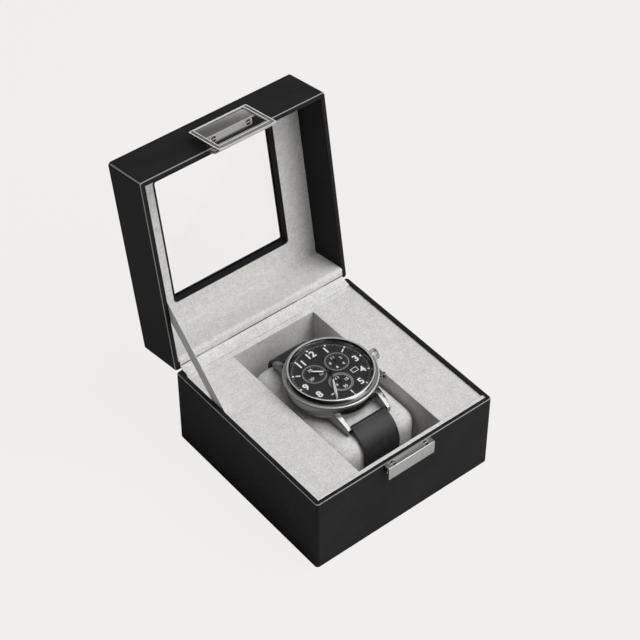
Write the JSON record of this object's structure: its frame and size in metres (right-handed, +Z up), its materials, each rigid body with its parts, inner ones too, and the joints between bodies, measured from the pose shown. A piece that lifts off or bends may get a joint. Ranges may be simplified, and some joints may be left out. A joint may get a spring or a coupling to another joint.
{
  "type": "wristwatch display box",
  "caption": "Leather-covered square display box with a hinged window lid, ribbon stay, snap clasp and suede lining, holding a strap watch on a cushion.",
  "frame": {"origin": "centre of the base's underside, on the table", "axes": "+X to the right along the front, +Y from the clasp at the front to the hinge at the back, +Z up"},
  "size_m": [0.1, 0.147, 0.1483],
  "materials": {
    "board": "raw fibreboard",
    "leatherette": "smooth fine-grained black",
    "felt": "matt black sheet",
    "suede": "light grey suede",
    "ribbon": "satin ribbon",
    "cushion": "light grey suede over foam",
    "nickel": "satin nickel with bright edges",
    "plated_steel": "plated",
    "glass": "clear",
    "steel": "polished",
    "dial": "matt black",
    "hands": "white lacquer",
    "strap": "dark grey leather"
  },
  "bodies": {
    "base": {"base_core": "board", "base_wrap": "leatherette", "base_bottom": "felt", "front_lining": "suede", "shelf_left": "suede", "shelf_right": "suede", "shelf_back": "suede", "well_floor": "suede", "hinge_leaves_base": "plated_steel", "hinge_pins": "plated_steel", "hinge_screws_base": "plated_steel", "hinge_strip": "suede", "ribbon": "ribbon", "keeper_plate": "nickel", "keeper_backplate": "plated_steel", "keeper_screws": "nickel", "keeper_rivets": "plated_steel"},
    "lid": {"lid_core": "board", "lid_wrap": "leatherette", "lid_pad": "leatherette", "window_pane": "glass", "window_bezel": "leatherette", "lid_lining": "suede", "lid_back_lining": "suede", "hinge_leaves_lid": "plated_steel", "hinge_screws_lid": "plated_steel", "hasp_cover": "nickel", "hasp_backplate": "plated_steel", "hasp_screws": "nickel", "hasp_rivets": "plated_steel"},
    "ring": {"hasp_ring": "nickel", "hasp_pin": "nickel"},
    "cushion": {"cushion": "cushion", "watch_case": "steel", "watch_back": "steel", "watch_bezel": "steel", "watch_crystal": "glass", "watch_flange": "steel", "watch_dial": "dial", "spring_bars": "steel", "strap_short": "strap", "strap_long": "strap", "strap_bands": "strap", "buckle": "steel", "buckle_tang": "steel"},
    "minute_hand": {"hand_minute": "hands"},
    "hour_hand": {"hand_hour": "hands"},
    "second_hand": {"hand_second": "hands"},
    "left_hand": {"hand_left": "hands"},
    "right_hand": {"hand_right": "hands"},
    "low_hand": {"hand_low": "hands"},
    "crown_stem": {"crown_stem": "steel"},
    "crown": {"crown": "steel"},
    "pusher_high": {"pusher_high": "steel"},
    "pusher_low": {"pusher_low": "steel"}
  },
  "joints": [
    {"name": "lid_hinge", "type": "hinge", "parent": "base", "child": "lid", "pos_m": [0, 0.0505, 0.0421], "axis": [-1, 0, 0], "range_deg": [-99.6, 0], "deforming": ["hinge_strip", "ribbon"]},
    {"name": "ring_swing", "type": "hinge", "parent": "lid", "child": "ring", "pos_m": [0, 0.07733, 0.14314], "axis": [-1, 0, 0], "range_deg": [-1, 95]},
    {"name": "cushion_lift", "type": "slide", "parent": "base", "child": "cushion", "axis": [0, 0, 1], "range_m": [0, 0.06]},
    {"name": "minute_turn", "type": "hinge", "parent": "cushion", "child": "minute_hand", "pos_m": [0, 0.0015, 0.0489], "axis": [0, 0, -1], "continuous": true},
    {"name": "hour_turn", "type": "hinge", "parent": "cushion", "child": "hour_hand", "pos_m": [0, 0.0015, 0.0489], "axis": [0, 0, -1], "continuous": true},
    {"name": "second_turn", "type": "hinge", "parent": "cushion", "child": "second_hand", "pos_m": [0, 0.0015, 0.0489], "axis": [0, 0, -1], "continuous": true},
    {"name": "left_counter_turn", "type": "hinge", "parent": "cushion", "child": "left_hand", "pos_m": [-0.0064, 0.0052, 0.0489], "axis": [0, 0, -1], "continuous": true},
    {"name": "right_counter_turn", "type": "hinge", "parent": "cushion", "child": "right_hand", "pos_m": [0.0064, 0.0052, 0.0489], "axis": [0, 0, -1], "continuous": true},
    {"name": "low_counter_turn", "type": "hinge", "parent": "cushion", "child": "low_hand", "pos_m": [0, -0.0057, 0.0489], "axis": [0, 0, -1], "continuous": true},
    {"name": "crown_pull", "type": "slide", "parent": "cushion", "child": "crown_stem", "axis": [1, 0, 0], "range_m": [0, 0.0012]},
    {"name": "crown_turn", "type": "hinge", "parent": "crown_stem", "child": "crown", "pos_m": [0.024, 0.0015, 0.0442], "axis": [1, 0, 0], "continuous": true},
    {"name": "pusher_high_press", "type": "slide", "parent": "cushion", "child": "pusher_high", "axis": [0.8387, 0.5446, 0], "range_m": [-0.0008, 0], "stiffness_N_per_m": 1500},
    {"name": "pusher_low_press", "type": "slide", "parent": "cushion", "child": "pusher_low", "axis": [0.8387, -0.5446, 0], "range_m": [-0.0008, 0], "stiffness_N_per_m": 1500}
  ],
  "couplings": [
    {"joint": "hour_turn", "follows": "minute_turn", "ratio": 0.083333}
  ]
}
